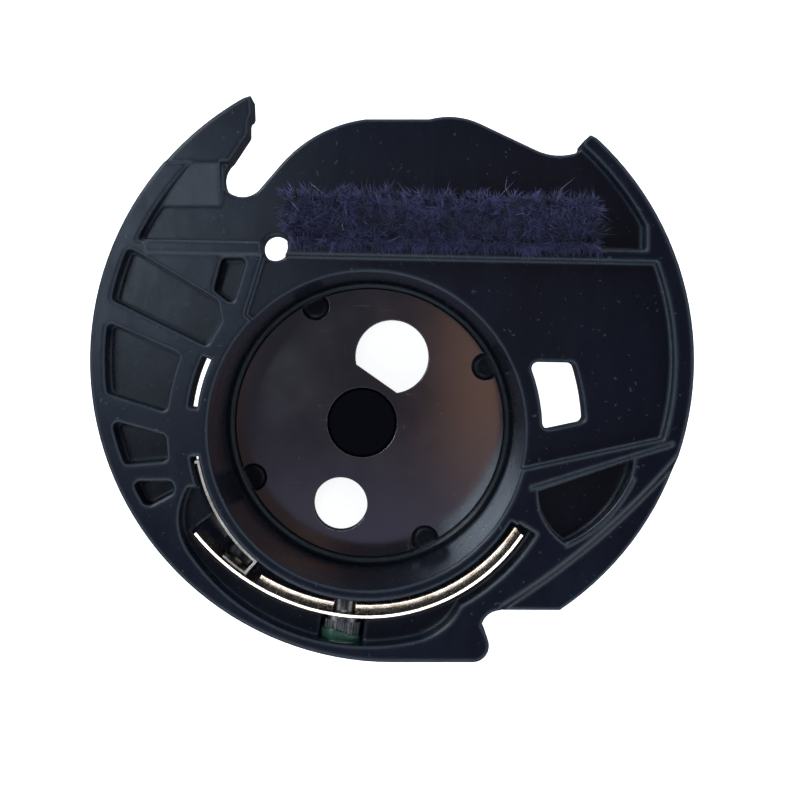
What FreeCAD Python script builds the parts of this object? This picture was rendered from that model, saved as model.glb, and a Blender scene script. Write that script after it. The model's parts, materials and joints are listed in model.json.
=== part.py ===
import FreeCAD, Part
import math
import os

# Drop-in bobbin case for a horizontal rotary hook.
# Millimetres. The origin is on the bobbin axis, at the foot of the cup's straight wall.
# +Z points up out of the cup's mouth and +Y points to the pile strip.

V = FreeCAD.Vector
UP = V(0, 0, 1)

# ---- driving dimensions ----

# heights
TOP = 12.4             # rim, ribs and ring
HORN_TOP = 12.15       # flat top of the horn
EDGE_TOP = 11.9        # thin outer flange at the lower right
RECESS_TOP = 11.4      # shallow recess right of and above the cup
DECK_TOP = 11.0        # deck that carries the pile strip
POCKET_FLOOR = 10.5    # moulding pockets and crescent floor
UNDER = 9.4            # underside of the flange
RACE_FOOT = 8.8        # foot of the rim that runs on the hook's race
FLOOR_TOP = -0.3       # cup floor, flush with the steel floor plate
PLATE_T = 0.3
CUP_BASE = -2.0        # underside of the cup

LIP_H = 0.15           # fine lip and ridges by the pockets
LIP_SUNK = 0.3         # how deep its root goes into the moulding

# cup
CUP_R = 11.2           # bobbin bore
WALL_R = 12.0          # outside of the cup wall
BASE_BEVEL = 0.9       # bevel round the cup's foot
EDGE_BEVEL = 0.13      # small bevel on the moulding's upper edges

# flange, round the hook's own axis
HOOK_X, HOOK_Y = 1.76, 4.98
FLANGE_R = 21.25
RING_R = 20.2          # inside of the raised ring
RACE_R = 19.9          # inside of the race rim underneath

# straight rib: its two edges as Y at X = 0 and a common fall to the right
RIB_BACK_Y = 13.14
RIB_FRONT_Y = 12.25
RIB_FALL = 0.02

# floor: holes, magnet and locating lugs
SIGHT_HOLE = (HOOK_X, 5.25, 2.93)
SMALL_HOLE = (-2.33, -6.44, 2.13)
MAGNET_AT = (-0.62, 0.04)
MAGNET_R = 2.7
MAGNET_FLOOR = -1.6
SIGHT_FLAT = (2.15, 234.9)           # the large hole's straight side: distance and direction
PLATE_R = 10.6
PLATE_GAP = 0.1        # plate to the step round it
NOTCH_AT_R = 10.2
NOTCH_R = 1.1
NOTCH_ANGLES = (26.0, 115.0, 205.0, 295.5)
LUG_R = 0.9

# thread hole in the rib and sight window in the flange
THREAD_HOLE = (-6.5, 12.95, 0.93)
WINDOW_IN_R, WINDOW_OUT_R = 12.45, 15.45
SLOT_IN_R, SLOT_OUT_R = 12.05, 12.7
SLOT_FROM, SLOT_TO = 155.5, 172.5

# crescent round the springs
CRESCENT_R = 15.15
LEAF_GAP = 0.18        # leaf to the crescent floor
LEDGE_TOP, LEDGE_FOOT = 4.6, 3.8     # ledge on the cup under the leaf

# tension leaf: a tail arc that runs tangent into a main arc round the cup axis
LEAF_R = 13.35         # outer face of the main arc
LEAF_T = 0.2
LEAF_TOP = 11.4
LEAF_FOOT = 7.4
LEAF_TAB = 7.0         # half angle of the taller tab that the mount screw clamps
LEAF_TAB_FOOT = 5.6
LEAF_BEAD_R = 0.27
LEAF_JOIN = 265.0      # angle where tail and main arc meet
LEAF_END = 326.0
TAIL_SHIFT = 2.75      # tail centre, measured from the cup axis away from the join
TAIL_END = (-12.3, -7.35)

# radial screws
TENSION_ANGLE, TENSION_Z = 262.6, 9.9
MOUNT_ANGLE, MOUNT_Z = 231.7, 7.6    # measured round the leaf's tail centre
SCREW_R = 0.8
THREAD_GAP = 0.04
INSERT_R = 1.2
BOSS_R = 1.75
TENSION_REACH = (11.35, 12.1)        # insert's inner end and boss face, from the cup axis
MOUNT_REACH = (13.75, 15.5)          # the same, from the tail centre
TENSION_HEAD = (13.42, 15.0, 1.3)    # from, to, radius
HEAD_WAY_R = 1.68      # clearance bore for the head and the sealant on it
MOUNT_HEAD = (16.16, 17.1, 1.35)
LEAF_HOLE_R = 1.1
FLUTES, FLUTE_R = 24, 0.09
SLOT_W, SLOT_DEPTH = 0.36, 0.49
CROSS_W, CROSS_L, CROSS_DEPTH = 0.3, 1.5, 0.45
DAB_R, DAB_FROM, DAB_TO = 1.58, 14.3, 15.3
DAB_GAP = 0.01

# thread guide strip on the cup wall
GUIDE_IN_R = 12.03
GUIDE_T = 0.26
FOLD_T = 0.16
GUIDE_FROM, GUIDE_TO = 190.0, 230.0
FOLD_IN_R = 15.62      # folded end, measured from the tail centre
FOLD_FROM, FOLD_TO = 228.0, 235.6
GUIDE_TOP, GUIDE_FOOT = 11.6, 5.8
GUIDE_TIP = 0.42       # how far the free tip is lifted off the wall
FOLD_TOP = 11.2
BOSS_GAP = 0.1         # guide to the mount screw's boss

# pile strip
PILE_LEFT, PILE_RIGHT = -5.5, 16.3
PILE_BACK = 3.4        # width behind the rib
ADHESIVE_T = 0.1
BACKING_T = 0.35
PILE_TOP = 13.2
PILE_OVERHANG = 0.75   # how far the pile leans over the rib


# ---- helpers ----

def polar(radius, degrees, z=0.0, centre=(0.0, 0.0)):
    a = math.radians(degrees)
    return V(centre[0] + radius * math.cos(a), centre[1] + radius * math.sin(a), z)


def flange_y(x, sign):
    """Y of the flange circle at x, on its upper (+1) or lower (-1) half."""
    return HOOK_Y + sign * math.sqrt(FLANGE_R ** 2 - (x - HOOK_X) ** 2)


def at(point, z=0.0):
    """A vector over a plan point, which may be a pair or a vector."""
    return V(point[0], point[1], z)


def outline_face(steps, start, z):
    """A flat face from steps of ("line", p) and ("arc", through, p), closed by a line if open."""
    edges = []
    here = at(start, z)
    for step in steps:
        there = at(step[-1], z)
        if step[0] == "arc":
            edges.append(Part.Arc(here, at(step[1], z), there).toShape())
        else:
            edges.append(Part.LineSegment(here, there).toShape())
        here = there
    if here.distanceToPoint(at(start, z)) > 1e-6:
        edges.append(Part.LineSegment(here, at(start, z)).toShape())
    return Part.Face(Part.Wire(edges))


def prism(face, height):
    return face.extrude(V(0, 0, height))


def block(points, z0, z1):
    """A straight-sided prism over a polygon."""
    corners = [at(p, z0) for p in points]
    return prism(Part.Face(Part.makePolygon(corners + corners[:1])), z1 - z0)


def disc(radius, z0, z1, centre=(0.0, 0.0)):
    return Part.makeCylinder(radius, z1 - z0, at(centre, z0), UP)


def sector(r_in, r_out, a0, a1, z0, z1, centre=(0.0, 0.0)):
    """A curved bar between two radii and two angles."""
    profile = Part.makePolygon([
        polar(r_in, a0, z0, centre),
        polar(r_out, a0, z0, centre),
        polar(r_out, a0, z1, centre),
        polar(r_in, a0, z1, centre),
        polar(r_in, a0, z0, centre),
    ])
    return Part.Face(profile).revolve(at(centre), UP, a1 - a0)


def radial_rod(radius, r_in, r_out, degrees, z, centre=(0.0, 0.0)):
    """A cylinder that lies level along a radius from a centre."""
    direction = polar(1.0, degrees)
    return Part.makeCylinder(radius, r_out - r_in, polar(r_in, degrees, z, centre), direction)


def tension_rod(radius, start, end):
    """A cylinder on the tension screw's axis, between distances from the cup axis."""
    return radial_rod(radius, start, end, TENSION_ANGLE, TENSION_Z)


def mount_rod(radius, start, end):
    """A cylinder on the mount screw's axis, between distances from the tail centre."""
    return radial_rod(radius, start, end, MOUNT_ANGLE, MOUNT_Z, tail_centre())


def rounded(shape, radius):
    """The shape with its upright edges rounded."""
    upright = []
    for edge in shape.Edges:
        ends = [v.Point for v in edge.Vertexes]
        if len(ends) == 2 and abs(ends[0].z - ends[1].z) > 0.5:
            upright.append(edge)
    return shape.makeFillet(radius, upright)


def fused(shapes):
    whole = shapes[0].multiFuse(shapes[1:]) if len(shapes) > 1 else shapes[0]
    return whole.removeSplitter()


def rib_y(x, at_zero):
    return at_zero - RIB_FALL * x


# ---- flange ----

def flange_blank():
    """The whole flange in plan: horn, notch, back edge, bump, ring and stop tab."""
    horn_root = (-8.75, flange_y(-8.75, 1))
    bump_end = (16.2, flange_y(16.2, 1))
    step_top = (13.6, flange_y(13.6, -1))
    tab_root = (HOOK_X, HOOK_Y - FLANGE_R)
    right = (HOOK_X + FLANGE_R, HOOK_Y)
    left = (HOOK_X - FLANGE_R, HOOK_Y)
    steps = [
        ("line", (-8.2, 23.6)),
        ("line", (-8.15, 22.4)),
        ("line", (-8.4, 21.8)),
        ("line", (-8.4, 20.95)),
        ("line", (-9.62, 19.1)),
        ("arc", (-10.22, 17.85), (-10.0, 17.05)),
        ("arc", (-8.95, 16.6), (-7.7, 17.1)),
        ("line", (-6.2, 18.85)),
        ("arc", (-3.4, 21.1), (-0.13, 22.14)),
        ("line", (4.44, 22.14)),
        ("arc", (6.3, 22.3), (8.0, 21.84)),
        ("line", (12.0, 19.95)),
        ("arc", (13.3, 19.58), (14.58, 19.66)),
        ("arc", (15.05, 19.9), (15.25, 20.4)),
        ("line", (15.7, 20.8)),
        ("line", bump_end),
        ("arc", right, step_top),
        ("line", (9.7, -12.65)),
        ("arc", (8.5, -12.95), (8.05, -13.7)),
        ("arc", (8.35, -14.25), (8.55, -14.85)),
        ("arc", (8.35, -15.8), (7.5, -16.27)),
        ("line", tab_root),
        ("arc", left, horn_root),
    ]
    return prism(outline_face(steps, horn_root, UNDER), TOP - UNDER)


def deck_cut():
    """Everything above the pile deck, behind the rib and inside the ring."""
    back = 30.0
    area = block([
        (-10.39, rib_y(-10.39, RIB_BACK_Y)),
        (19.6, rib_y(19.6, RIB_BACK_Y)),
        (19.6, back),
        (-6.4, back),
        (-6.4, 18.96),
        (-10.39, 18.96),
    ], DECK_TOP, TOP + 1)
    return area.common(disc(RING_R, DECK_TOP, TOP + 1, (HOOK_X, HOOK_Y)))


def horn_cuts():
    """The horn's flat top, the ramp below it and the dark well at the ramp's foot."""
    flat = block([(-22, 18.96), (-6.4, 18.96), (-6.4, 26), (-22, 26)], HORN_TOP, TOP + 1)
    ramp_line = [
        V(-22, 12.0, DECK_TOP),
        V(-22, 15.9, DECK_TOP),
        V(-22, 18.96, HORN_TOP),
        V(-22, 18.96, TOP + 1),
        V(-22, 12.0, TOP + 1),
        V(-22, 12.0, DECK_TOP),
    ]
    ramp = Part.Face(Part.makePolygon(ramp_line)).extrude(V(11.61, 0, 0))
    behind_rib = block([
        (-22, rib_y(-22, RIB_BACK_Y)),
        (-10.39, rib_y(-10.39, RIB_BACK_Y)),
        (-10.39, 26),
        (-22, 26),
    ], DECK_TOP, TOP + 1)
    inside_ring = disc(RING_R - 0.4, DECK_TOP, TOP + 1, (HOOK_X, HOOK_Y))
    return [flat, ramp.common(behind_rib).common(inside_ring)]


def recess_cut():
    """The shallow recess in front of the rib: over the cup's back and all its right side."""
    area = block([
        (-7.3, rib_y(-7.3, RIB_FRONT_Y)),
        (23.0, rib_y(23.0, RIB_FRONT_Y)),
        (23.0, -0.1),
        (20.4, -0.66),
        (11.3, -2.63),
        (8.0, -3.4),
        (0.0, 0.0),
        (-8.6, 8.2),
        (-8.15, 9.62),
    ], RECESS_TOP, TOP + 1)
    return area.common(disc(RING_R - 0.35, RECESS_TOP, TOP + 1, (HOOK_X, HOOK_Y)))


def left_pockets():
    """Five moulding pockets between the left ring and the cup, with ribs between them."""
    inside_ring = disc(RING_R, POCKET_FLOOR, TOP + 1, (HOOK_X, HOOK_Y))
    cup_side = disc(14.15, POCKET_FLOOR, TOP + 1)
    beside_rib = block([(-10.2, 12.15), (-8.45, 12.15), (-9.45, 8.85), (-10.8, 9.9)],
                       POCKET_FLOOR, TOP + 1)
    upper = block([(-17.2, 13.1), (-16.1, 12.5), (-10.5, 9.15), (-10.25, 7.7),
                   (-11.3, 5.95), (-19.5, 10.0)], POCKET_FLOOR, TOP + 1)
    middle = block([(-20.5, 8.65), (-12.8, 5.25), (-13.0, 1.0), (-20.5, 3.35)],
                   POCKET_FLOOR, TOP + 1)
    lower = block([(-20.0, 1.3), (-13.5, -0.5), (-13.5, -2.05), (-20.0, -2.6)],
                  POCKET_FLOOR, TOP + 1)
    last = block([(-18.0, -3.55), (-13.6, -3.55), (-13.6, -4.35), (-15.3, -5.25),
                  (-16.4, -5.0)], POCKET_FLOOR, TOP + 1)
    pockets = [beside_rib, upper.common(inside_ring)]
    for wide in (middle, lower, last):
        pockets.append(wide.common(inside_ring).cut(cup_side))
    return [rounded(pocket, 0.35) for pocket in pockets]


def right_pocket():
    """The three-cornered pocket at the lower right."""
    steps = [
        ("line", (18.75, -2.05)),
        ("line", (18.5, -3.35)),
        ("arc", (16.75, -6.0), (14.0, -7.95)),
        ("arc", (12.7, -6.6), (12.1, -5.2)),
    ]
    return prism(outline_face(steps, (12.0, -4.3), POCKET_FLOOR), TOP + 1 - POCKET_FLOOR)


def lower_right_step():
    """The thin outer flange: a slope down from the ring to EDGE_TOP outside one long arc."""
    drop = TOP - EDGE_TOP
    steps = [
        ("arc", (16.0, -7.45), (22.2, -1.2)),
        ("line", (26.0, -1.2)),
        ("line", (26.0, -20.0)),
        ("line", (9.4, -20.0)),
    ]
    foot = prism(outline_face(steps, (9.4, -12.25), EDGE_TOP), drop + 1)
    slope_line = [e for e in foot.Edges
                  if isinstance(e.Curve, Part.Circle) and e.BoundBox.ZMax < EDGE_TOP + 0.01]
    return foot.makeChamfer(drop, slope_line)


def pocket_lip():
    """A fine raised lip along the outer side of the right pocket."""
    steps = [
        ("arc", (17.0, -6.05), (18.85, -3.35)),
        ("line", (18.55, -3.3)),
        ("arc", (16.75, -5.9), (13.95, -7.85)),
    ]
    return prism(outline_face(steps, (14.0, -8.15), TOP - LIP_SUNK), LIP_SUNK + LIP_H)


def fine_ridges():
    """Two fine raised lines: on top of the right pocket's straight side, and on the rib's left end."""
    low, high = TOP - LIP_SUNK, TOP + LIP_H
    beside_pocket = block([(11.5, -4.13), (21.5, -1.03), (21.5, -0.78), (11.5, -3.88)], low, high)
    left, right = -15.6, THREAD_HOLE[0] - 1.0
    on_rib = block([
        (left, rib_y(left, RIB_FRONT_Y)),
        (right, rib_y(right, RIB_FRONT_Y)),
        (right, rib_y(right, RIB_BACK_Y)),
        (left, rib_y(left, RIB_BACK_Y)),
    ], low, high)
    return [beside_pocket, on_rib]


def window_cut():
    """The four-sided sight window: two arcs round the cup and two straight ends."""
    z0, z1 = RACE_FOOT - 1, TOP + 1
    arcs = sector(WINDOW_IN_R, WINDOW_OUT_R, -20.0, 40.0, z0, z1)
    ends = block([(9.0, 4.9), (17.0, 4.75), (17.0, 0.95), (9.0, -0.75)], z0, z1)
    return rounded(arcs.common(ends), 0.45)


def slot_cut():
    """The see-through thread slot beside the cup wall."""
    return sector(SLOT_IN_R, SLOT_OUT_R, SLOT_FROM, SLOT_TO, RACE_FOOT - 1, TOP + 1)


# ---- springs' crescent ----

def tail_centre():
    away = polar(TAIL_SHIFT, LEAF_JOIN + 180.0)
    return (away.x, away.y)


def tail_radius():
    return LEAF_R + TAIL_SHIFT


def tail_end_angle():
    cx, cy = tail_centre()
    return math.degrees(math.atan2(TAIL_END[1] - cy, TAIL_END[0] - cx)) % 360.0


def leaf_bar(inner, outer, z0, z1, extra=0.0):
    """A bar along the leaf's two arcs, between offsets from its outer face."""
    tail = sector(tail_radius() + inner, tail_radius() + outer,
                  tail_end_angle() - extra, LEAF_JOIN, z0, z1, tail_centre())
    main = sector(LEAF_R + inner, LEAF_R + outer, LEAF_JOIN, LEAF_END + extra * 2.0, z0, z1)
    return tail.fuse(main)


def crescent_cuts():
    """The crescent: a shallow floor, and a channel right through it beside the cup."""
    wide = sector(WALL_R - 0.1, CRESCENT_R, 213.0, 285.0, POCKET_FLOOR, TOP + 1)
    widening = [
        ("line", polar(13.2, 197.5)),
        ("arc", polar(14.6, 205.0), polar(CRESCENT_R, 215.0)),
        ("line", polar(12.2, 215.0)),
    ]
    left_end = prism(outline_face(widening, polar(12.2, 199.0), POCKET_FLOOR), TOP + 1 - POCKET_FLOOR)
    steps = [
        ("line", polar(CRESCENT_R, 275.0)),
        ("arc", polar(CRESCENT_R, 279.0), polar(CRESCENT_R, 283.0)),
        ("arc", (5.5, -13.65), (6.8, -11.7)),
        ("line", polar(12.5, 298.0)),
    ]
    taper = prism(outline_face(steps, polar(12.5, 275.0), POCKET_FLOOR), TOP + 1 - POCKET_FLOOR)
    beside_leaf = sector(12.5, LEAF_R + 0.55, 283.0, LEAF_END + 2.5, POCKET_FLOOR, TOP + 1)
    start = sector(WALL_R - 0.1, 12.6, 188.5, 205.0, POCKET_FLOOR, TOP + 1)
    channel = leaf_bar(-2.6, LEAF_GAP, RACE_FOOT - 1, TOP + 1, 1.0)
    guide_way = sector(WALL_R - 0.1, 12.55, 188.5, 235.0, RACE_FOOT - 1, TOP + 1)
    return [wide, left_end, taper, beside_leaf, start, channel, guide_way]


def head_housing():
    """The trough that holds the tension screw's head: what to add under the flange, what to cut."""
    trough = tension_rod(HEAD_WAY_R + 0.7, 13.9, 18.0)
    inside_race = disc(FLANGE_R - 0.35, UNDER - 3, UNDER + 0.5, (HOOK_X, HOOK_Y))
    trough = trough.common(inside_race)
    return trough, tension_rod(HEAD_WAY_R, 13.3, 20.0)


def leaf_ledge():
    """A ledge on the cup wall that closes the channel under the leaf and the guide."""
    under_leaf = leaf_bar(-2.4, 1.6, LEDGE_FOOT, LEDGE_TOP, 3.0)
    under_guide = sector(WALL_R - 0.2, 12.9, 186.0, 240.0, LEDGE_FOOT, LEDGE_TOP)
    return under_leaf.fuse(under_guide)


# ---- cup ----

def cup_outside():
    shell = disc(WALL_R, CUP_BASE, TOP)
    foot = [e for e in shell.Edges if abs(e.BoundBox.ZMax - CUP_BASE) < 1e-6 and e.Closed]
    return shell.makeChamfer(BASE_BEVEL, foot)


def screw_bosses():
    tension = tension_rod(BOSS_R, TENSION_REACH[0], TENSION_REACH[1])
    mount = mount_rod(BOSS_R, MOUNT_REACH[0], MOUNT_REACH[1])
    return [tension, mount]


def insert_bores():
    tension = tension_rod(INSERT_R, TENSION_REACH[0], TENSION_REACH[1] + 1)
    mount = mount_rod(INSERT_R, MOUNT_REACH[0], MOUNT_REACH[1] + 1)
    return [tension, mount]


def bobbin_bore():
    """The space in the cup, narrowing at its foot so that a small bevel is left in the corner."""
    space = disc(CUP_R, FLOOR_TOP, TOP + 1)
    foot = [e for e in space.Edges if abs(e.BoundBox.ZMax - FLOOR_TOP) < 1e-6 and e.Closed]
    return space.makeChamfer(-FLOOR_TOP, foot)


def sight_hole(z0, z1):
    """The large hole, with the straight side that it has towards the magnet."""
    x, y, r = SIGHT_HOLE
    distance, direction = SIGHT_FLAT
    beyond = Part.makeBox(r, 4 * r, z1 - z0, V(distance, -2 * r, z0))
    beyond.rotate(V(0, 0, 0), UP, direction)
    beyond.translate(V(x, y, 0))
    return disc(r, z0, z1, (x, y)).cut(beyond)


def floor_cuts():
    """The plate's seat, the magnet's well and the two sight holes."""
    below = CUP_BASE - 1
    seat = disc(PLATE_R + PLATE_GAP, FLOOR_TOP - PLATE_T, FLOOR_TOP)
    well = disc(MAGNET_R + 0.03, MAGNET_FLOOR, FLOOR_TOP, MAGNET_AT)
    x, y, r = SMALL_HOLE
    small = disc(r, below, FLOOR_TOP, (x, y))
    return [seat, well, sight_hole(below, FLOOR_TOP), small]


def plate_lugs():
    """Moulded lugs that sit in the plate's edge notches and stop it turning."""
    lugs = []
    for angle in NOTCH_ANGLES:
        centre = polar(NOTCH_AT_R, angle)
        lugs.append(disc(LUG_R, FLOOR_TOP - PLATE_T - 0.2, FLOOR_TOP - 0.06, (centre.x, centre.y)))
    return lugs


def level_edges(body, level, shortest):
    """Edges, not too short, of the flat faces that lie at one height."""
    edges = []
    for face in body.Faces:
        box = face.BoundBox
        if abs(box.ZMin - level) < 1e-5 and abs(box.ZMax - level) < 1e-5:
            edges += [e for e in face.Edges if e.Length > shortest]
    return edges


def bevelled(body, level, size):
    """Bevels the upper edges at one height, one after another, and leaves sharp what can't take it."""
    mids = [e.valueAt((e.FirstParameter + e.LastParameter) / 2) for e in level_edges(body, level, 0.5)]
    for mid in mids:
        spot = Part.Vertex(mid)
        found = [e for e in level_edges(body, level, 0.3) if e.distToShape(spot)[0] < 1e-4]
        if not found:
            continue
        try:
            trial = body.makeChamfer(size, found[:1])
        except Part.OCCError:
            continue
        taken = body.Volume - trial.Volume
        if trial.isValid() and len(trial.Solids) == 1 and 0 < taken < 2.0:
            body = trial
    return body


def case_body():
    trough, head_way = head_housing()
    race = disc(FLANGE_R, RACE_FOOT, UNDER + 0.1, (HOOK_X, HOOK_Y))
    race = race.cut(disc(RACE_R, RACE_FOOT - 1, TOP, (HOOK_X, HOOK_Y)))
    blank = flange_blank()
    plan = blank.copy()
    plan.translate(V(0, 0, -2.0))
    race = race.common(plan.fuse(blank))
    flange = blank.fuse([race, trough]).removeSplitter()
    flange = flange.cut(disc(WALL_R - 0.3, RACE_FOOT - 1, TOP + 1))
    cuts = [deck_cut(), recess_cut(), right_pocket(), lower_right_step(), window_cut(), slot_cut()]
    cuts += horn_cuts() + left_pockets() + crescent_cuts() + [head_way]
    for tool in cuts:
        flange = flange.cut(tool)
    flange = flange.fuse([pocket_lip()] + fine_ridges())
    cup = cup_outside().cut(recess_cut()).cut(deck_cut())
    body = fused([flange, cup, leaf_ledge()] + screw_bosses())
    body = body.cut(bobbin_bore())
    for tool in floor_cuts() + insert_bores():
        body = body.cut(tool)
    body = body.fuse(plate_lugs()).removeSplitter()
    for level in (TOP, RECESS_TOP, HORN_TOP):
        body = bevelled(body, level, EDGE_BEVEL)
    x, y, r = THREAD_HOLE
    return body.cut(disc(r, UNDER - 1, TOP + 1, (x, y)))


# ---- metal pieces ----

def floor_plate():
    low = FLOOR_TOP - PLATE_T
    plate = disc(PLATE_R, low, FLOOR_TOP)
    for angle in NOTCH_ANGLES:
        centre = polar(NOTCH_AT_R, angle)
        mouth = polar(NOTCH_AT_R + 1.0, angle)
        plate = plate.cut(disc(NOTCH_R, low, FLOOR_TOP, (centre.x, centre.y)))
        plate = plate.cut(disc(NOTCH_R * 0.95, low, FLOOR_TOP, (mouth.x, mouth.y)))
    x, y, r = SMALL_HOLE
    holes = [
        sight_hole(low, FLOOR_TOP),
        disc(r, low, FLOOR_TOP, (x, y)),
        disc(MAGNET_R + 0.08, low, FLOOR_TOP, MAGNET_AT),
    ]
    for hole in holes:
        plate = plate.cut(hole)
    return plate


def magnet():
    body = disc(MAGNET_R, MAGNET_FLOOR, FLOOR_TOP - 0.06, MAGNET_AT)
    top = [e for e in body.Edges if e.Closed and e.BoundBox.ZMin > FLOOR_TOP - 0.1]
    return body.makeChamfer(0.15, top)


def bead_arc(radius, a0, a1, centre):
    """A round bead along one arc of the leaf's foot."""
    middle = radius - LEAF_T / 2 - LEAF_BEAD_R * 0.6
    start = polar(middle, a0, LEAF_FOOT + LEAF_BEAD_R, centre)
    tangent = polar(1.0, a0 + 90.0)
    ring = Part.Wire(Part.Circle(start, tangent, LEAF_BEAD_R).toShape())
    return Part.Face(ring).revolve(at(centre), UP, a1 - a0)


def tension_leaf():
    """Bent steel leaf beside the cup wall: a tab for its screw, and a foot rolled inwards as a bead."""
    strip = leaf_bar(-LEAF_T, 0.0, LEAF_FOOT + 0.1, LEAF_TOP)
    tab = sector(tail_radius() - LEAF_T, tail_radius(), MOUNT_ANGLE - LEAF_TAB, MOUNT_ANGLE + LEAF_TAB,
                 LEAF_TAB_FOOT, LEAF_TOP - 0.5, tail_centre())
    tail_bead = bead_arc(tail_radius(), MOUNT_ANGLE + LEAF_TAB + 0.5, LEAF_JOIN, tail_centre())
    main_bead = bead_arc(LEAF_R, LEAF_JOIN, LEAF_END, (0.0, 0.0))
    leaf = strip.fuse([tab, tail_bead, main_bead])
    leaf = leaf.cut(tension_rod(LEAF_HOLE_R, 10.0, 20.0))
    leaf = leaf.cut(mount_rod(LEAF_HOLE_R, 10.0, 20.0))
    return leaf.removeSplitter()


def thread_guide():
    """Thin steel strip on the cup wall: a lifted tip, and a folded end under the leaf."""
    centre = tail_centre()
    wall_out_r = GUIDE_IN_R + GUIDE_T
    fold_out_r = FOLD_IN_R + FOLD_T
    tip_r = GUIDE_IN_R + GUIDE_TIP
    tip_to = GUIDE_FROM + 1.0
    half_way = (GUIDE_FROM + GUIDE_TO) / 2
    half_fold = (FOLD_FROM + FOLD_TO) / 2
    steps = [
        ("arc", polar(GUIDE_IN_R, half_way), polar(GUIDE_IN_R, GUIDE_TO)),
        ("line", polar(fold_out_r, FOLD_TO, 0.0, centre)),
        ("arc", polar(fold_out_r, half_fold, 0.0, centre), polar(fold_out_r, FOLD_FROM, 0.0, centre)),
        ("line", polar(FOLD_IN_R, FOLD_FROM, 0.0, centre)),
        ("arc", polar(FOLD_IN_R, half_fold, 0.0, centre), polar(FOLD_IN_R, FOLD_TO - 0.6, 0.0, centre)),
        ("line", polar(wall_out_r, GUIDE_TO - 0.8)),
        ("arc", polar(wall_out_r, half_way), polar(wall_out_r, tip_to)),
        ("line", polar(tip_r, tip_to)),
        ("line", polar(tip_r, GUIDE_FROM)),
    ]
    strip = prism(outline_face(steps, polar(GUIDE_IN_R, GUIDE_FROM), GUIDE_FOOT), GUIDE_TOP - GUIDE_FOOT)
    over_fold = sector(FOLD_IN_R - 0.7, FOLD_IN_R + 1.0, FOLD_FROM - 2, FOLD_TO + 3, FOLD_TOP, TOP, centre)
    boss_hole = mount_rod(BOSS_R + BOSS_GAP, 12.0, MOUNT_REACH[1])
    shank_hole = mount_rod(SCREW_R + 0.15, 12.0, 18.0)
    for tool in (over_fold, boss_hole, shank_hole):
        strip = strip.cut(tool)
    return strip


def rim_edge(shape, point):
    """The shape's closed edge that is centred on a point."""
    return [e for e in shape.Edges if e.Closed and e.CenterOfMass.distanceToPoint(point) < 0.01]


def tension_screw():
    """Slotted screw with a straight-knurled head."""
    start, end, radius = TENSION_HEAD
    head = tension_rod(radius, start, end)
    across = polar(1.0, TENSION_ANGLE + 90.0)
    for i in range(FLUTES):
        turn = 2 * math.pi * i / FLUTES
        groove = tension_rod(FLUTE_R, start + 0.35, end + 0.1)
        groove.translate(across * (radius * math.cos(turn)) + UP * (radius * math.sin(turn)))
        head = head.cut(groove)
    slot = Part.makeBox(SLOT_DEPTH + 0.1, SLOT_W, 3 * radius, V(-SLOT_DEPTH, -SLOT_W / 2, -1.5 * radius))
    slot.rotate(V(0, 0, 0), UP, TENSION_ANGLE)
    slot.translate(polar(end, TENSION_ANGLE, TENSION_Z))
    shank = tension_rod(SCREW_R, TENSION_REACH[0] + 0.15, start + 0.1)
    return head.cut(slot).fuse(shank).removeSplitter()


def mount_screw():
    """Cross-recessed pan screw that holds the leaf and the guide to the cup."""
    start, end, radius = MOUNT_HEAD
    face = polar(end, MOUNT_ANGLE, MOUNT_Z, tail_centre())
    head = mount_rod(radius, start, end)
    head = head.makeFillet(0.4, rim_edge(head, face))
    for spin in (0.0, 90.0):
        arm = Part.makeBox(CROSS_DEPTH + 0.1, CROSS_W, CROSS_L, V(-CROSS_DEPTH, -CROSS_W / 2, -CROSS_L / 2))
        arm.rotate(V(0, 0, 0), V(1, 0, 0), spin)
        arm.rotate(V(0, 0, 0), UP, MOUNT_ANGLE)
        arm.translate(face)
        head = head.cut(arm)
    shank = mount_rod(SCREW_R, MOUNT_REACH[0] + 0.15, start + 0.1)
    return head.fuse(shank).removeSplitter()


def insert(rod, reach):
    """Brass threaded insert, with its bore at the thread's running size."""
    start, end = reach
    return rod(INSERT_R, start, end).cut(rod(SCREW_R + THREAD_GAP, start + 0.1, end + 1))


def threadlock_dab():
    """Dried sealant like a cap over the outer end of the tension screw's head."""
    head_end, head_r = TENSION_HEAD[1:]
    cap = tension_rod(DAB_R, DAB_FROM, DAB_TO)
    cap = cap.makeFillet(0.25, rim_edge(cap, polar(DAB_TO, TENSION_ANGLE, TENSION_Z)))
    return cap.cut(tension_rod(head_r + DAB_GAP, DAB_FROM - 1, head_end + DAB_GAP))


# ---- pile strip ----

def strip_block(front, back, z0, z1):
    """A bar along the rib, between two distances behind the rib's back edge."""
    corners = []
    for x, offset in ((PILE_LEFT, front), (PILE_RIGHT, front), (PILE_RIGHT, back), (PILE_LEFT, back)):
        corners.append((x, rib_y(x, RIB_BACK_Y) + offset))
    return block(corners, z0, z1)


def brush_adhesive():
    return strip_block(0.1, PILE_BACK - 0.1, DECK_TOP, DECK_TOP + ADHESIVE_T)


def brush_backing():
    z0 = DECK_TOP + ADHESIVE_T
    return strip_block(0.06, PILE_BACK, z0, z0 + BACKING_T)


def brush_pile():
    """Dense cut pile as one plain body, leaning over the rib."""
    z0 = DECK_TOP + ADHESIVE_T + BACKING_T
    upright = strip_block(0.06, PILE_BACK, z0, PILE_TOP)
    lean = strip_block(-PILE_OVERHANG, 0.5, TOP + 0.08, PILE_TOP)
    return upright.fuse(lean).removeSplitter()


# ---- export ----

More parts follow.
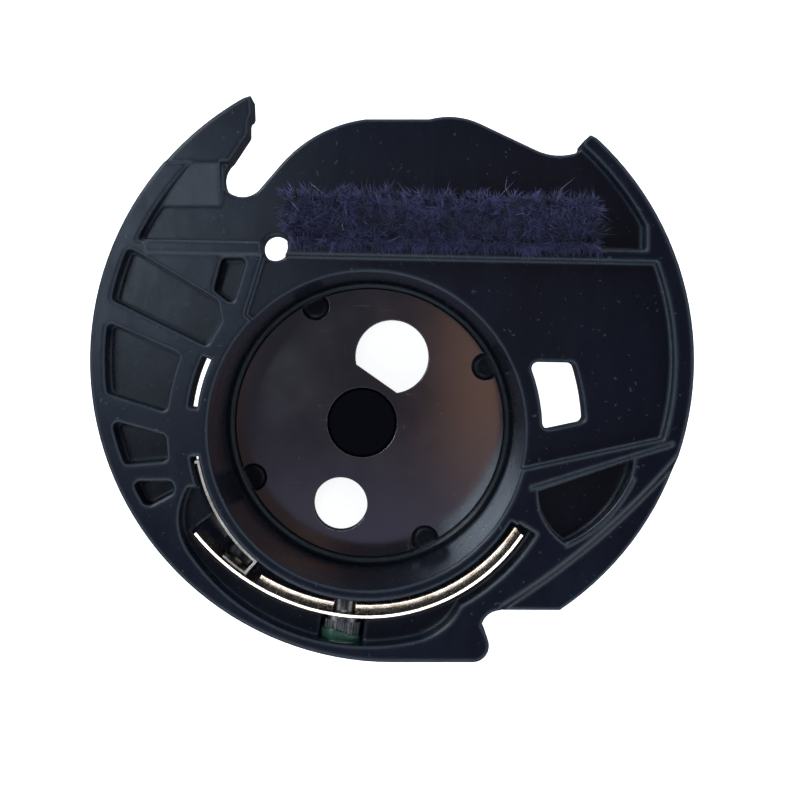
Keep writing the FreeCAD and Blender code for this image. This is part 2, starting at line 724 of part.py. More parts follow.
NODES = {
    "case_body": case_body,
    "floor_plate": floor_plate,
    "magnet": magnet,
    "tension_leaf": tension_leaf,
    "thread_guide": thread_guide,
    "tension_screw": tension_screw,
    "tension_insert": lambda: insert(tension_rod, TENSION_REACH),
    "mount_screw": mount_screw,
    "mount_insert": lambda: insert(mount_rod, MOUNT_REACH),
    "threadlock_dab": threadlock_dab,
    "brush_adhesive": brush_adhesive,
    "brush_backing": brush_backing,
    "brush_pile": brush_pile,
}

os.makedirs("parts", exist_ok=True)
for name, make in NODES.items():
    shape = make()
    print(name, len(shape.Solids), "solid", round(shape.Volume, 2), "mm3", shape.isValid())
    shape.exportStep("parts/" + name + ".step")
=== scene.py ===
import json
import math
import random

import bpy
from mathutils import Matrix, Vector, noise


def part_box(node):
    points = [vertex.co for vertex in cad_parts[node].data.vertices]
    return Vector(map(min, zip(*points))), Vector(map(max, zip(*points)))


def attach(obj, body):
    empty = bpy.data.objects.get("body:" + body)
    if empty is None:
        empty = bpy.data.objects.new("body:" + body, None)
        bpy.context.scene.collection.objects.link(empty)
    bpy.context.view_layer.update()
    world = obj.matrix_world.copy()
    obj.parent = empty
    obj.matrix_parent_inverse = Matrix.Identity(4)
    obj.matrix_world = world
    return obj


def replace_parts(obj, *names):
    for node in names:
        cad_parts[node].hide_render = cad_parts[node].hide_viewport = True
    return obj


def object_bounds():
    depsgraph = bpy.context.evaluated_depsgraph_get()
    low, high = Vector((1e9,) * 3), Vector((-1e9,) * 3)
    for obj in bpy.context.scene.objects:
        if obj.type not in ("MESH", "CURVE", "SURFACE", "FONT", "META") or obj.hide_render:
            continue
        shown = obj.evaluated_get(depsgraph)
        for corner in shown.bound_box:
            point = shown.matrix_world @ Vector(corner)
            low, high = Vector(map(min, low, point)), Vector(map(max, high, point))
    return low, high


# Drop-in bobbin case: looks, pile, floor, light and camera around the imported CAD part.
# Metres, in the CAD frame: +Z out of the cup's mouth, +Y towards the pile strip.

MM = 0.001
RIM_TOP = 12.4 * MM
FLANGE_RADIUS = 21.25 * MM

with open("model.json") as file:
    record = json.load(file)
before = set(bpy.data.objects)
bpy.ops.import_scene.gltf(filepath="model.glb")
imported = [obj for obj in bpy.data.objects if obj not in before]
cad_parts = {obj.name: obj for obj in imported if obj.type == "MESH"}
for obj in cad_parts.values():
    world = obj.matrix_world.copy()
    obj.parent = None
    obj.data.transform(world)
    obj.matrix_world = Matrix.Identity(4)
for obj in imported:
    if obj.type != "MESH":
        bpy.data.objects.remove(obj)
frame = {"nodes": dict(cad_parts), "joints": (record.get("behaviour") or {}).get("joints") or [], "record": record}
cad_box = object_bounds()
nodes = frame["nodes"]


# ---- node helpers ----

class Graph:
    """A material's node tree with its Principled shader, built by short calls."""

    def __init__(self, name):
        self.material = bpy.data.materials.new(name)
        self.material.use_nodes = True
        self.tree = self.material.node_tree
        self.shader = self.tree.nodes["Principled BSDF"]
        self.coordinates = self.add("ShaderNodeTexCoord").outputs["Object"]

    def add(self, kind, **settings):
        node = self.tree.nodes.new(kind)
        for key, value in settings.items():
            setattr(node, key, value)
        return node

    def link(self, output, socket):
        self.tree.links.new(output, socket)

    def set(self, **values):
        """Plain values on the shader's sockets; an underscore stands for a space."""
        for key, value in values.items():
            self.shader.inputs[key.replace("_", " ")].default_value = value

    def stretched(self, scale, turn=0.0):
        mapping = self.add("ShaderNodeMapping")
        mapping.inputs["Scale"].default_value = scale
        mapping.inputs["Rotation"].default_value = (0.0, 0.0, turn)
        self.link(self.coordinates, mapping.inputs["Vector"])
        return mapping.outputs["Vector"]

    def noise(self, per_mm, detail=3.0, rough=0.55, vector=None):
        node = self.add("ShaderNodeTexNoise")
        node.inputs["Scale"].default_value = per_mm / MM
        node.inputs["Detail"].default_value = detail
        node.inputs["Roughness"].default_value = rough
        self.link(vector or self.coordinates, node.inputs["Vector"])
        return node.outputs["Fac"]

    def remap(self, value, low, high, to_low=0.0, to_high=1.0):
        node = self.add("ShaderNodeMapRange")
        for key, number in zip(("From Min", "From Max", "To Min", "To Max"), (low, high, to_low, to_high)):
            node.inputs[key].default_value = number
        self.link(value, node.inputs["Value"])
        return node.outputs["Result"]

    def math(self, operation, a, b):
        node = self.add("ShaderNodeMath", operation=operation)
        for socket, value in zip(node.inputs, (a, b)):
            if isinstance(value, (int, float)):
                socket.default_value = value
            else:
                self.link(value, socket)
        return node.outputs["Value"]

    def mix(self, factor, a, b):
        """A colour between a and b; each may be a colour or a link."""
        node = self.add("ShaderNodeMix", data_type="RGBA")
        for socket, value in zip((node.inputs["Factor"], node.inputs[6], node.inputs[7]), (factor, a, b)):
            if isinstance(value, (int, float)):
                socket.default_value = value
            elif isinstance(value, tuple):
                socket.default_value = value + (1.0,)
            else:
                self.link(value, socket)
        return node.outputs[2]

    def rounding(self, radius_mm, samples=6):
        """The normal with its edges rounded off, and how near an edge is, from 0 to 1."""
        bevel = self.add("ShaderNodeBevel", samples=samples)
        bevel.inputs["Radius"].default_value = radius_mm * MM
        geometry = self.add("ShaderNodeNewGeometry")
        dot = self.add("ShaderNodeVectorMath", operation="DOT_PRODUCT")
        self.link(bevel.outputs["Normal"], dot.inputs[0])
        self.link(geometry.outputs["Normal"], dot.inputs[1])
        return bevel.outputs["Normal"], self.remap(dot.outputs["Value"], 1.0, 0.8)

    def bump(self, *layers, normal=None):
        """Bump from (height, strength, depth in mm) layers, over a normal if one is given."""
        for height, strength, depth_mm in layers:
            node = self.add("ShaderNodeBump")
            node.inputs["Strength"].default_value = strength
            node.inputs["Distance"].default_value = depth_mm * MM
            self.link(height, node.inputs["Height"])
            if normal is not None:
                self.link(normal, node.inputs["Normal"])
            normal = node.outputs["Normal"]
        self.link(normal, self.shader.inputs["Normal"])

    def color(self, output):
        self.link(output, self.shader.inputs["Base Color"])

    def roughness(self, output):
        self.link(output, self.shader.inputs["Roughness"])


# ---- materials ----

def black_moulding():
    g = Graph("black_moulding")
    rounded, edge = g.rounding(0.42)
    cloud = g.noise(0.12, 4.0)
    grain = g.noise(9.0, 4.0, 0.7)
    smear = g.noise(0.5, 5.0, 0.7, g.stretched((1.0, 0.35, 1.0), 0.6))
    specks = g.remap(g.noise(2.6, 1.0), 0.72, 0.76)
    # painted highlight: a paler blue is painted along the rounded edges, patchy along their length, and they are
    # kept smoother
    edge_highlight = g.math("MULTIPLY", edge, g.remap(g.noise(1.1, 3.0), 0.35, 0.65, 0.4, 1.0))
    base = g.mix(g.remap(cloud, 0.3, 0.7), (0.0012, 0.0024, 0.0066), (0.0028, 0.0046, 0.0112))
    dusty = g.mix(g.math("MULTIPLY", specks, 0.5), base, (0.045, 0.055, 0.065))
    g.color(g.mix(g.math("MULTIPLY", edge_highlight, 0.6), dusty, (0.035, 0.055, 0.08)))
    g.roughness(g.math("ADD", g.remap(smear, 0.3, 0.75, 0.2, 0.31), g.math("MULTIPLY", edge_highlight, -0.08)))
    g.bump((cloud, 0.25, 0.12), (smear, 0.1, 0.02), (grain, 0.35, 0.006), normal=rounded)
    g.set(IOR=1.5)
    return g.material


def polished_plate():
    g = Graph("polished_plate")
    haze = g.noise(0.16, 4.0, 0.6)
    lines = g.noise(6.0, 3.0, 0.6, g.stretched((1.0, 0.02, 1.0), 0.9))
    fine = g.noise(9.0, 2.0, 0.5, g.stretched((0.03, 1.0, 1.0), 0.35))
    scratches = g.math("ADD", g.remap(lines, 0.67, 0.74), g.remap(fine, 0.69, 0.76))
    specks = g.remap(g.noise(2.4, 1.0), 0.77, 0.79)
    rounded, edge = g.rounding(0.07)
    steel = g.mix(g.remap(haze, 0.3, 0.7), (0.36, 0.35, 0.36), (0.44, 0.42, 0.41))
    # painted highlight: the edges are painted the same pale colour as the bright specks
    g.color(g.mix(g.math("MAXIMUM", g.math("MULTIPLY", specks, 0.6), edge), steel, (0.85, 0.82, 0.78)))
    g.roughness(g.math("ADD", g.remap(haze, 0.3, 0.7, 0.08, 0.13), g.math("MULTIPLY", scratches, 0.1)))
    g.bump((scratches, 0.05, 0.002), normal=rounded)
    g.set(Metallic=1.0)
    return g.material


def ferrite():
    g = Graph("ferrite")
    grain = g.noise(7.0, 5.0, 0.7)
    g.color(g.mix(g.remap(grain, 0.35, 0.7), (0.005, 0.0036, 0.0105), (0.0095, 0.0075, 0.018)))
    g.roughness(g.remap(grain, 0.3, 0.7, 0.5, 0.75))
    g.bump((grain, 0.3, 0.01))
    g.set(Specular_IOR_Level=0.25)
    return g.material


def bright_steel(name, light, dark, rough, streak):
    """Rolled or turned steel: fine streaks, small stains, and a painted highlight that makes its edges paler."""
    g = Graph(name)
    rolled = g.noise(5.0, 3.0, 0.6, g.stretched(streak))
    stain = g.noise(0.7, 4.0, 0.65)
    rounded, edge_highlight = g.rounding(0.06)
    tone = g.mix(g.remap(stain, 0.42, 0.66), light, dark)
    # painted highlight: the edges are painted pale
    g.color(g.mix(g.math("MULTIPLY", edge_highlight, 0.6), tone, (0.86, 0.85, 0.83)))
    spread = g.remap(rolled, 0.3, 0.7, rough - 0.06, rough + 0.08)
    g.roughness(g.math("ADD", spread, g.math("MULTIPLY", stain, 0.06)))
    g.bump((rolled, 0.08, 0.002), normal=rounded)
    g.set(Metallic=1.0)
    return g.material


def green_sealant():
    g = Graph("green_sealant")
    flow = g.noise(1.3, 3.0)
    crust = g.noise(6.0, 4.0)
    g.color(g.mix(g.remap(flow, 0.35, 0.65), (0.006, 0.03, 0.018), (0.022, 0.085, 0.045)))
    g.roughness(g.remap(crust, 0.3, 0.7, 0.3, 0.55))
    g.bump((flow, 0.6, 0.1), (crust, 0.3, 0.01))
    g.set(Coat_Weight=0.1)
    return g.material


def adhesive():
    g = Graph("adhesive")
    blot = g.noise(1.6, 4.0)
    g.color(g.mix(g.remap(blot, 0.35, 0.65), (0.03, 0.028, 0.026), (0.08, 0.07, 0.055)))
    g.roughness(g.remap(blot, 0.3, 0.7, 0.45, 0.75))
    g.bump((blot, 0.5, 0.03))
    return g.material


def backing_weave():
    g = Graph("backing_weave")
    fuzz = g.noise(10.0, 4.0, 0.7)
    fade = g.noise(0.5, 3.0)
    g.color(g.mix(g.remap(fade, 0.3, 0.7), (0.006, 0.005, 0.012), (0.02, 0.016, 0.035)))
    g.roughness(g.remap(fuzz, 0.3, 0.7, 0.75, 0.95))
    g.bump((fuzz, 0.5, 0.01))
    g.set(Sheen_Weight=0.3)
    return g.material


def pile_fibre():
    """Roots painted dark as painted shade deep in the pile, tips from dark to light by tuft, and pale loose fibres
    where shade is above 1.
    """
    g = Graph("pile_fibre")
    tip = g.add("ShaderNodeAttribute", attribute_name="along").outputs["Fac"]
    tuft = g.add("ShaderNodeAttribute", attribute_name="shade").outputs["Fac"]
    fade = g.noise(0.25, 3.0)
    # painted shade: the roots are painted darker than the tips, for the shade deep in the pile
    shaded_root_tone = g.mix(g.remap(fade, 0.3, 0.7), (0.003, 0.003, 0.008), (0.007, 0.006, 0.017))
    tip_tone = g.mix(g.remap(tuft, 0.0, 1.0), (0.014, 0.013, 0.05), (0.15, 0.145, 0.37))
    stray_tone = g.mix(g.remap(tuft, 1.0, 2.0), tip_tone, (0.62, 0.62, 0.72))
    g.color(g.mix(tip, shaded_root_tone, stray_tone))
    g.roughness(g.remap(g.noise(4.0, 2.0), 0.3, 0.7, 0.5, 0.75))
    g.set(Sheen_Weight=0.25, Sheen_Roughness=0.4)
    return g.material


def floor_paper():
    g = Graph("floor_paper")
    tooth = g.noise(1.5, 3.0)
    g.color(g.mix(tooth, (0.88, 0.88, 0.88), (0.93, 0.93, 0.93)))
    g.roughness(g.remap(tooth, 0.3, 0.7, 0.8, 0.95))
    g.set(Emission_Color=(1.0, 1.0, 1.0, 1.0), Emission_Strength=0.9)
    return g.material


MATERIALS = {
    "black_moulding": black_moulding(),
    "polished_plate": polished_plate(),
    "ferrite": ferrite(),
    "spring_steel": bright_steel(
        "spring_steel", (0.68, 0.62, 0.55), (0.4, 0.33, 0.27), 0.18, (1.0, 1.0, 0.06)),
    "screw_steel": bright_steel(
        "screw_steel", (0.2, 0.19, 0.19), (0.08, 0.075, 0.07), 0.26, (1.0, 1.0, 1.0)),
    "insert_brass": bright_steel(
        "insert_brass", (0.72, 0.52, 0.22), (0.42, 0.28, 0.11), 0.3, (1.0, 1.0, 1.0)),
    "green_sealant": green_sealant(),
    "adhesive": adhesive(),
    "backing_weave": backing_weave(),
}
for row in frame["record"]["subparts"]:
    look = MATERIALS.get(row["material_slot"])
    if look:
        piece = nodes[row["node"]]
        piece.data.materials.clear()
        piece.data.materials.append(look)


# ---- pile strip ----

PILE_LOW, PILE_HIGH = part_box("brush_pile")
BACKING_LOW, BACKING_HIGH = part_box("brush_backing")
RIB_FALL = 0.02        # the strip follows the rib, which falls to the right
PILE_FOOT = BACKING_HIGH.z
PILE_LEFT, PILE_RIGHT = PILE_LOW.x, PILE_HIGH.x
STRIP_BACK = PILE_HIGH.y - abs(PILE_LEFT) * RIB_FALL    # back edge where x is 0
STRIP_DEPTH = BACKING_HIGH.y - BACKING_LOW.y - (PILE_RIGHT - PILE_LEFT) * RIB_FALL
TUFT_PITCH = 0.21 * MM
TUFT_FIBRES = 14
FIBRE_SIDES = 3
FIBRE_RADIUS = 0.028 * MM
STRAY_RADIUS = 0.018 * MM
TUFT_SPREAD = 0.06 * MM
THREAD_HOLE = Vector((-6.5, 12.95)) * MM
HOLE_KEEP_OUT = 1.15 * MM


def strip_point(x, across, z):
    """A point over the strip: across is 0 at its back edge and 1 at the rib."""
    return Vector((x, STRIP_BACK - RIB_FALL * x - across * STRIP_DEPTH, z))


def new_piece(name, vertices, faces, material, body="case"):
    mesh = bpy.data.meshes.new(name)
    mesh.from_pydata(vertices, [], faces)
    mesh.validate()
    mesh.materials.append(material)
    mesh.polygons.foreach_set("use_smooth", [True] * len(mesh.polygons))
    piece = bpy.data.objects.new(name, mesh)
    bpy.context.scene.collection.objects.link(piece)
    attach(piece, body)
    return piece


def lump(x, y, size):
    """Smooth tuft height between 0 and 1 at a place on the strip."""
    return 0.5 + 0.5 * noise.noise(Vector((x / size, y / size, 3.7)))


def pile_core():
    """The body of the pile under its fibres: a rounded, tufted bar."""
    long_steps, round_steps = 150, 26
    vertices, faces = [], []
    for i in range(long_steps + 1):
        u = i / long_steps
        end = min(1.0, min(u, 1.0 - u) * 24.0)
        end = math.sqrt(1.0 - (1.0 - end) ** 2)
        x = PILE_LEFT + 0.35 * MM + u * (PILE_RIGHT - PILE_LEFT - 0.7 * MM)
        for j in range(round_steps):
            turn = math.pi * j / (round_steps - 1)
            across = 0.52 - 0.5 * math.cos(turn) * (0.9 + 0.1 * end)
            rise = math.sin(turn) ** 0.55 if 0 < j < round_steps - 1 else 0.0
            height = (PILE_HIGH.z - 0.75 * MM - PILE_FOOT) * (0.55 + 0.45 * end)
            height *= 0.82 + 0.3 * lump(x, across * STRIP_DEPTH, 0.9 * MM)
            vertices.append(strip_point(x, across, PILE_FOOT + rise * height))
    for i in range(long_steps):
        for j in range(round_steps - 1):
            a = i * round_steps + j
            faces.append((a, a + 1, a + round_steps + 1, a + round_steps))
        first = i * round_steps
        faces.append((first + round_steps - 1, first, first + round_steps, first + 2 * round_steps - 1))
    last = long_steps * round_steps
    faces.append(tuple(range(round_steps - 1, -1, -1)))
    faces.append(tuple(last + j for j in range(round_steps)))
    return new_piece("pile_core", vertices, faces, PILE_LOOK)


def tuft_places(rng):
    """(x, across) of every tuft: jittered rows over the strip."""
    rows = int(STRIP_DEPTH / TUFT_PITCH)
    columns = int((PILE_RIGHT - PILE_LEFT) / TUFT_PITCH)
    for i in range(columns):
        for j in range(rows):
            x = PILE_LEFT + (i + 0.5 + rng.uniform(-0.45, 0.45)) * TUFT_PITCH
            yield x, (j + 0.5 + rng.uniform(-0.45, 0.45)) / rows


def tuft_lean(x, across, rng):
    """Sideways lean of a tuft, outwards where it stands at the strip's edge."""
    out_back = max(0.0, 1.0 - across / 0.1)
    out_front = max(0.0, (across - 0.72) / 0.28)
    out_left = max(0.0, 1.0 - (x - PILE_LEFT) / (0.6 * MM))
    out_right = max(0.0, 1.0 - (PILE_RIGHT - x) / (0.6 * MM))
    lean_x = 0.25 * (out_right - out_left) + rng.gauss(0.0, 0.24)
    lean_y = 0.05 * out_back - 0.75 * out_front + rng.gauss(0.0, 0.24)
    return lean_x, lean_y


def fibre_line(x, across, lean, height, rng, stray):
    """Three points of a fibre: root, middle and tip. At the front it goes over the rib."""
    root = strip_point(x, across, PILE_FOOT)
    lean_x = lean[0] + rng.gauss(0.0, 0.14)
    lean_y = lean[1] + rng.gauss(0.0, 0.14)
    if stray:
        height *= rng.uniform(1.2, 1.7)
        lean_x += rng.uniform(-0.9, 0.9)
        lean_y += rng.uniform(0.1, 0.9)
    middle = root + Vector((lean_x, lean_y, 1.0)) * (0.6 * height)
    rib_back = strip_point(x, 1.0, 0.0).y
    if middle.y < rib_back + 0.3 * MM:
        middle.y = max(middle.y, rib_back + 0.03 * MM)
        middle.z = max(middle.z, RIM_TOP + 0.1 * MM)
    curl = Vector((rng.gauss(0.0, 0.4), rng.gauss(0.0, 0.4), 0.8)) + Vector((1.3 * lean_x, 1.3 * lean_y, 0.0))
    tip = middle + curl * (0.4 * height)
    if tip.y < rib_back:
        tip.z = max(tip.z, RIM_TOP + rng.uniform(0.1, 0.5) * MM)
    tip.z = min(tip.z, PILE_HIGH.z + (0.5 if stray else 0.1) * MM)
    return root, middle, tip


def pile_fibres():
    """Thin tapered fibres in tufts, each fibre with a bend."""
    rng = random.Random(442)
    vertices, faces, along, shade = [], [], [], []
    full = PILE_HIGH.z - PILE_FOOT
    for tuft_x, tuft_across in tuft_places(rng):
        lean = tuft_lean(tuft_x, tuft_across, rng)
        tuft_height = full * rng.uniform(0.55, 1.03)
        # painted light: tufts near the back edge get a lighter tone, for the side that faces the light
        painted_light_at_back = 0.22 * max(0.0, 1.0 - tuft_across / 0.4)
        tuft_tone = 0.2 + painted_light_at_back + rng.gauss(0.0, 0.34)
        stray_chance = 0.05 if tuft_across < 0.1 or tuft_x > PILE_RIGHT - 0.5 * MM else 0.006
        has_stray = rng.random() < stray_chance
        for strand in range(TUFT_FIBRES):
            stray = has_stray and strand == 0
            x = tuft_x + rng.gauss(0.0, 1.0) * TUFT_SPREAD
            across = tuft_across + rng.gauss(0.0, 1.0) * TUFT_SPREAD / STRIP_DEPTH
            across = min(0.99, max(0.01, across))
            height = tuft_height * rng.uniform(0.85, 1.05)
            root, middle, tip = fibre_line(x, across, lean, height, rng, stray)
            if min((p.to_2d() - THREAD_HOLE).length for p in (middle, tip)) < HOLE_KEEP_OUT:
                continue
            radius = (STRAY_RADIUS if stray else FIBRE_RADIUS) * rng.uniform(0.8, 1.25)
            direction = (middle - root).normalized()
            side = direction.orthogonal().normalized()
            other = direction.cross(side)
            if stray:
                tone = 1.3 + rng.uniform(0.0, 0.6)
            else:
                tone = min(1.0, max(0.0, tuft_tone + rng.gauss(0.0, 0.12)))
            start = len(vertices)
            for centre, thick, up in ((root, 1.0, 0.0), (middle, 0.9, 0.5)):
                for k in range(FIBRE_SIDES):
                    turn = 2 * math.pi * k / FIBRE_SIDES
                    away = side * math.cos(turn) + other * math.sin(turn)
                    vertices.append(centre + away * radius * thick)
                    along.append(up)
                    shade.append(tone)
            vertices.append(tip)
            along.append(1.0)
            shade.append(tone)
            for k in range(FIBRE_SIDES):
                n = (k + 1) % FIBRE_SIDES
                faces.append((start + k, start + n, start + FIBRE_SIDES + n, start + FIBRE_SIDES + k))
                faces.append((start + FIBRE_SIDES + k, start + FIBRE_SIDES + n, start + 2 * FIBRE_SIDES))
    piece = new_piece("pile_fibres", vertices, faces, PILE_LOOK)
    for name, values in (("along", along), ("shade", shade)):
        layer = piece.data.attributes.new(name, "FLOAT", "POINT")
        layer.data.foreach_set("value", values)
    return piece


def thread_tube(points, radius, vertices, faces):
    """Adds a four-sided tube along points to a mesh's lists."""
    start = len(vertices)
    for i, point in enumerate(points):
        along = points[min(i + 1, len(points) - 1)] - points[max(i - 1, 0)]
        side = along.cross(Vector((0, 0, 1))).normalized()
        up = side.cross(along).normalized()
        for a, b in ((1, 0), (0, 1), (-1, 0), (0, -1)):
            vertices.append(point + (side * a * 1.5 + up * b) * radius)
    for i in range(len(points) - 1):
        for k in range(4):
            a, b = start + 4 * i + k, start + 4 * i + (k + 1) % 4
            faces.append((a, b, b + 4, a + 4))
    faces.append((start + 3, start + 2, start + 1, start))
    end = start + 4 * (len(points) - 1)
    faces.append((end, end + 1, end + 2, end + 3))


def woven_backing():
    """Plain weave under the pile, its cut threads uneven at the ends."""
    rng = random.Random(7)
    long_threads, cross_threads = 11, 66
    middle_z = (BACKING_LOW.z + BACKING_HIGH.z) / 2
    wave = 0.07 * MM
    radius = 0.08 * MM
    pitch = (PILE_RIGHT - PILE_LEFT - 0.4 * MM) / (cross_threads - 1)
    vertices, faces = [], []
    for row in range(long_threads):
        across = (row + 0.5) / long_threads
        points = []
        for step in range(2 * cross_threads - 1):
            x = PILE_LEFT + 0.2 * MM + step * pitch / 2
            rise = wave * math.cos(math.pi * (step / 2 + row))
            points.append(strip_point(x, across, middle_z + rise))
        points[0].x -= rng.uniform(0.0, 0.15) * MM
        points[-1].x += rng.uniform(0.0, 0.15) * MM
        thread_tube(points, radius, vertices, faces)
    for column in range(cross_threads):
        x = PILE_LEFT + 0.2 * MM + column * pitch
        points = []
        for step in range(2 * long_threads + 1):
            across = min(0.985, max(0.015, (step / 2) / long_threads))
            rise = -wave * math.cos(math.pi * ((step - 1) / 2 + column))
            points.append(strip_point(x, across, middle_z + rise))
        thread_tube(points, radius, vertices, faces)
    return new_piece("pile_backing_weave", vertices, faces, MATERIALS["backing_weave"])


PILE_LOOK = pile_fibre()
core = pile_core()
for name, value in (("along", 0.15), ("shade", 0.2)):
    layer = core.data.attributes.new(name, "FLOAT", "POINT")
    layer.data.foreach_set("value", [value] * len(core.data.vertices))
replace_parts(core, "brush_pile")
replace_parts(pile_fibres(), "brush_pile")
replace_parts(woven_backing(), "brush_backing")


# ---- sealant on the tension screw ----

HEAD_END, HEAD_RADIUS = 15.0 * MM, 1.31 * MM      # the head's end is measured along the screw's axis
RUN_START, RUN_END, RUN_BORE = 15.35 * MM, 16.05 * MM, 1.66 * MM
SIDE_RINGS, END_RINGS = 8, 6


def screw_axis():
    """The tension screw's outward direction, and the point of its axis from which places count."""
    joint = next(j for j in frame["joints"] if j["name"] == "tension_screw_turn")
    out = Vector(joint["axis"]).normalized()
    origin = Vector(joint["pos_m"])
    return out, origin - out * origin.dot(out)


def sealant():
    """An uneven dried patch over the outer end and one side of the screw's head."""
    out, origin = screw_axis()
    right = Vector((0, 0, 1)).cross(out) * -1.0
    up = Vector((0, 0, 1))
    thickest = 0.2 * MM
    around, rings = 72, SIDE_RINGS + END_RINGS
    vertices, faces = [], []
    for i in range(rings + 1):
        for k in range(around):
            turn = 2 * math.pi * k / around
            ragged = noise.noise(Vector((math.cos(turn) * 1.7, math.sin(turn) * 1.7, 4.0)))
            reach = (0.42 + 0.3 * math.cos(turn - 0.9) + 0.35 * ragged) * MM
            if i <= SIDE_RINGS:
                # over the side of the head, from the ragged edge to the head's end
                t = i / SIDE_RINGS
                place = HEAD_END - reach * (1.0 - t)
                swell = math.sin(math.pi * min(1.0, 0.04 + 0.75 * t)) ** 0.6
                radius = HEAD_RADIUS + thickest * swell * (0.8 + 0.5 * ragged)
            else:
                # across the head's end to its middle
                t = (i - SIDE_RINGS) / END_RINGS
                swell = (0.05 + 0.16 * math.sin(math.pi * 0.5 * t)) * MM
                place = HEAD_END + swell * (1.0 + 0.5 * ragged)
                radius = (HEAD_RADIUS + 0.12 * MM) * math.cos(math.pi * 0.5 * t) + 0.001 * MM
            side = right * math.cos(turn) + up * math.sin(turn)
            vertices.append(origin + out * place + side * radius)
    for i in range(rings):
        for k in range(around):
            a, b = i * around + k, i * around + (k + 1) % around
            faces.append((a, b, b + around, a + around))
    inner = len(vertices)
    for k in range(around):
        turn = 2 * math.pi * k / around
        side = right * math.cos(turn) + up * math.sin(turn)
        vertices.append(origin + out * (HEAD_END + 0.012 * MM) + side * HEAD_RADIUS)
    for k in range(around):
        a, b = k, (k + 1) % around
        faces.append((b, a, inner + k, inner + (k + 1) % around))
    faces.append(tuple(inner + k for k in range(around)))
    faces.append(tuple(rings * around + k for k in range(around - 1, -1, -1)))
    look = MATERIALS["green_sealant"]
    piece = new_piece("sealant_patch", vertices, faces, look, body="screw")
    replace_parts(piece, "threadlock_dab")


def sealant_run():
    """Sealant that has run down and dried in the outer end of the head's bore."""
    out, origin = screw_axis()
    down = Vector((0, 0, -1))
    side = down.cross(out)
    rows, columns = 8, 30
    vertices, faces = [], []
    for layer in (0, 1):
        for i in range(rows + 1):
            place = RUN_START + (RUN_END - RUN_START) * i / rows
            for k in range(columns + 1):
                turn = math.radians(-72.0 + 144.0 * k / columns)
                uneven = noise.noise(Vector((place / MM * 1.9, turn * 1.6, 2.0)))
                edge = math.sin(math.pi * i / rows) ** 0.5 * math.sin(math.pi * k / columns) ** 0.5
                radius = RUN_BORE - layer * (0.04 + (0.34 + 0.3 * uneven) * edge) * MM
                away = down * math.cos(turn) + side * math.sin(turn)
                vertices.append(origin + out * place + away * radius)
    across = columns + 1
    layer_size = (rows + 1) * across
    for i in range(rows):
        for k in range(columns):
            a = i * across + k
            faces.append((a, a + 1, a + across + 1, a + across))
            b = a + layer_size
            faces.append((b, b + across, b + across + 1, b + 1))
    rim = list(range(across))
    rim += [i * across + columns for i in range(1, rows + 1)]
    rim += [rows * across + k for k in range(columns - 1, -1, -1)]
    rim += [i * across for i in range(rows - 1, 0, -1)]
    for a, b in zip(rim, rim[1:] + rim[:1]):
        faces.append((b, a, a + layer_size, b + layer_size))
    new_piece("sealant_run", vertices, faces, MATERIALS["green_sealant"])


sealant()
sealant_run()


# ---- floor, light and camera ----

# The world's brightness by height: 0 is straight down, 0.5 the horizon, 1 straight up.
WORLD_STOPS = (
    (0.49, (0.06, 0.065, 0.08)),
    (0.53, (0.8, 0.92, 1.05)),
    (0.62, (1.7, 1.95, 2.15)),
    (0.76, (1.5, 1.75, 2.0)),
    (0.87, (0.25, 0.3, 0.38)),
    (0.96, (0.06, 0.06, 0.08)),
)
CEILING = (0.042, 0.04, 0.056, 1.0)
GROUND = (0.05, 0.055, 0.065, 1.0)
WARM_PATCH = (0.25, 0.155, 0.125, 1.0)
LOWER_PATCH = (0.1, 0.1, 0.15, 1.0)


def make_floor():
    """A plain white floor that lights itself and not the part."""
    bpy.ops.mesh.primitive_plane_add(size=4.0, location=(0, 0, cad_box[0].z - 0.01 * MM))
    plane = bpy.context.object
    plane.name = "floor"
    plane.data.materials.append(floor_paper())
    plane.visible_diffuse = False
    plane.visible_glossy = False


def make_world():
    """A soft ring of light round a dark ceiling, with a dim warm patch on its right and a grey one below."""
    world = bpy.data.worlds.new("studio")
    bpy.context.scene.world = world
    world.use_nodes = True
    tree = world.node_tree
    background = tree.nodes["Background"]
    split = tree.nodes.new("ShaderNodeSeparateXYZ")
    tree.links.new(tree.nodes.new("ShaderNodeTexCoord").outputs["Generated"], split.inputs[0])

    def remap(value, low, high):
        node = tree.nodes.new("ShaderNodeMapRange")
        node.inputs["From Min"].default_value = low
        node.inputs["From Max"].default_value = high
        tree.links.new(value, node.inputs["Value"])
        return node.outputs["Result"]

    def math_node(operation, a, b):
        node = tree.nodes.new("ShaderNodeMath")
        node.operation = operation
        tree.links.new(a, node.inputs[0])
        tree.links.new(b, node.inputs[1])
        return node.outputs["Value"]

    def mix_node(factor, base, patch):
        node = tree.nodes.new("ShaderNodeMix")
        node.data_type = "RGBA"
        tree.links.new(factor, node.inputs["Factor"])
        tree.links.new(base, node.inputs[6])
        node.inputs[7].default_value = patch
        return node.outputs[2]

    ramp = tree.nodes.new("ShaderNodeValToRGB")
    stops = ramp.color_ramp
    stops.elements[0].color = GROUND
    stops.elements[1].color = CEILING
    for position, tone in WORLD_STOPS:
        stops.elements.new(position).color = tone + (1.0,)
    tree.links.new(remap(split.outputs["Z"], -1.0, 1.0), ramp.inputs[0])
    slope = math_node("DIVIDE", split.outputs["X"], split.outputs["Z"])
    warm = math_node("MULTIPLY", remap(slope, 0.026, 0.05), remap(split.outputs["Z"], 0.93, 0.97))
    warm = math_node("MULTIPLY", warm, remap(slope, 0.17, 0.1))
    with_warm = mix_node(warm, ramp.outputs["Color"], WARM_PATCH)
    low_slope = math_node("DIVIDE", split.outputs["Y"], split.outputs["Z"])
    low = math_node("MULTIPLY", remap(low_slope, -0.05, -0.12), remap(split.outputs["Z"], 0.93, 0.97))
    tree.links.new(mix_node(low, with_warm, LOWER_PATCH), background.inputs["Color"])


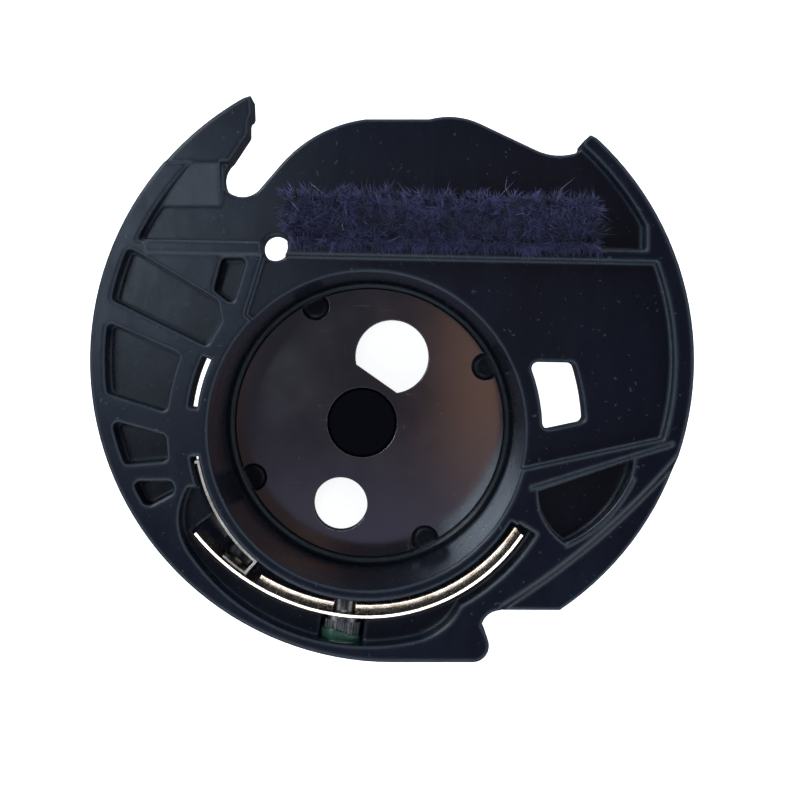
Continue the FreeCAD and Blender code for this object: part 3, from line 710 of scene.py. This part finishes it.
def area_light(name, place, size, power, tint):
    data = bpy.data.lights.new(name, "AREA")
    data.shape = "RECTANGLE"
    data.size, data.size_y = size
    data.energy = power
    data.color = tint
    lamp = bpy.data.objects.new(name, data)
    lamp.location = place
    lamp.rotation_euler = (-Vector(place)).to_track_quat("-Z", "Y").to_euler()
    bpy.context.scene.collection.objects.link(lamp)
    return lamp


def collection_of(name, node_names):
    group = bpy.data.collections.new(name)
    for node_name in node_names:
        group.objects.link(nodes[node_name])
    return group


def light_only(lamp, node_names):
    """The lamp lights only these CAD nodes, and only they shade it."""
    group = collection_of(lamp.name + "_group", node_names)
    lamp.light_linking.receiver_collection = group
    lamp.light_linking.blocker_collection = group


def make_camera():
    """Straight down the hook's axis, from close by, with the photo's framing."""
    flange_low, flange_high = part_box("case_body")
    hook_x = flange_high.x - FLANGE_RADIUS
    hook_y = flange_low.y + FLANGE_RADIUS
    distance = 98.4 * MM
    width = 56.18 * MM
    data = bpy.data.cameras.new("camera")
    data.sensor_width = 36.0
    data.lens = data.sensor_width * distance / width
    data.shift_x = 0.56 * MM / width
    data.shift_y = -2.8 * MM / width
    data.clip_start = 0.001
    data.clip_end = 10.0
    camera = bpy.data.objects.new("camera", data)
    camera.location = (hook_x, hook_y, RIM_TOP + distance)
    bpy.context.scene.collection.objects.link(camera)
    bpy.context.scene.camera = camera


make_floor()
make_world()
area_light("sheen", (-0.15, 0.07, 0.5), (0.1, 0.16), 0.16, (0.66, 0.82, 1.0))
area_light("key", (-0.35, 0.35, 0.3), (0.2, 0.2), 0.9, (0.9, 0.96, 1.0))
ramp_light = area_light("ramp_light", (-0.07, -0.27, 0.41), (0.2, 0.15), 0.2, (0.66, 0.82, 1.0))
ramp_light.light_linking.receiver_collection = collection_of("ramp_light_group", ("case_body",))
spring_light = area_light("spring_light", (0.0, -0.03, 0.3), (0.3, 0.22), 1.1, (0.97, 0.99, 1.0))
light_only(spring_light, ("tension_leaf", "mount_screw"))
guide_light = area_light("guide_light", (-0.03, -0.02, 0.3), (0.08, 0.08), 0.02, (0.85, 0.95, 1.0))
light_only(guide_light, ("thread_guide", "tension_screw"))
make_camera()
bpy.context.scene.view_settings.view_transform = "Standard"
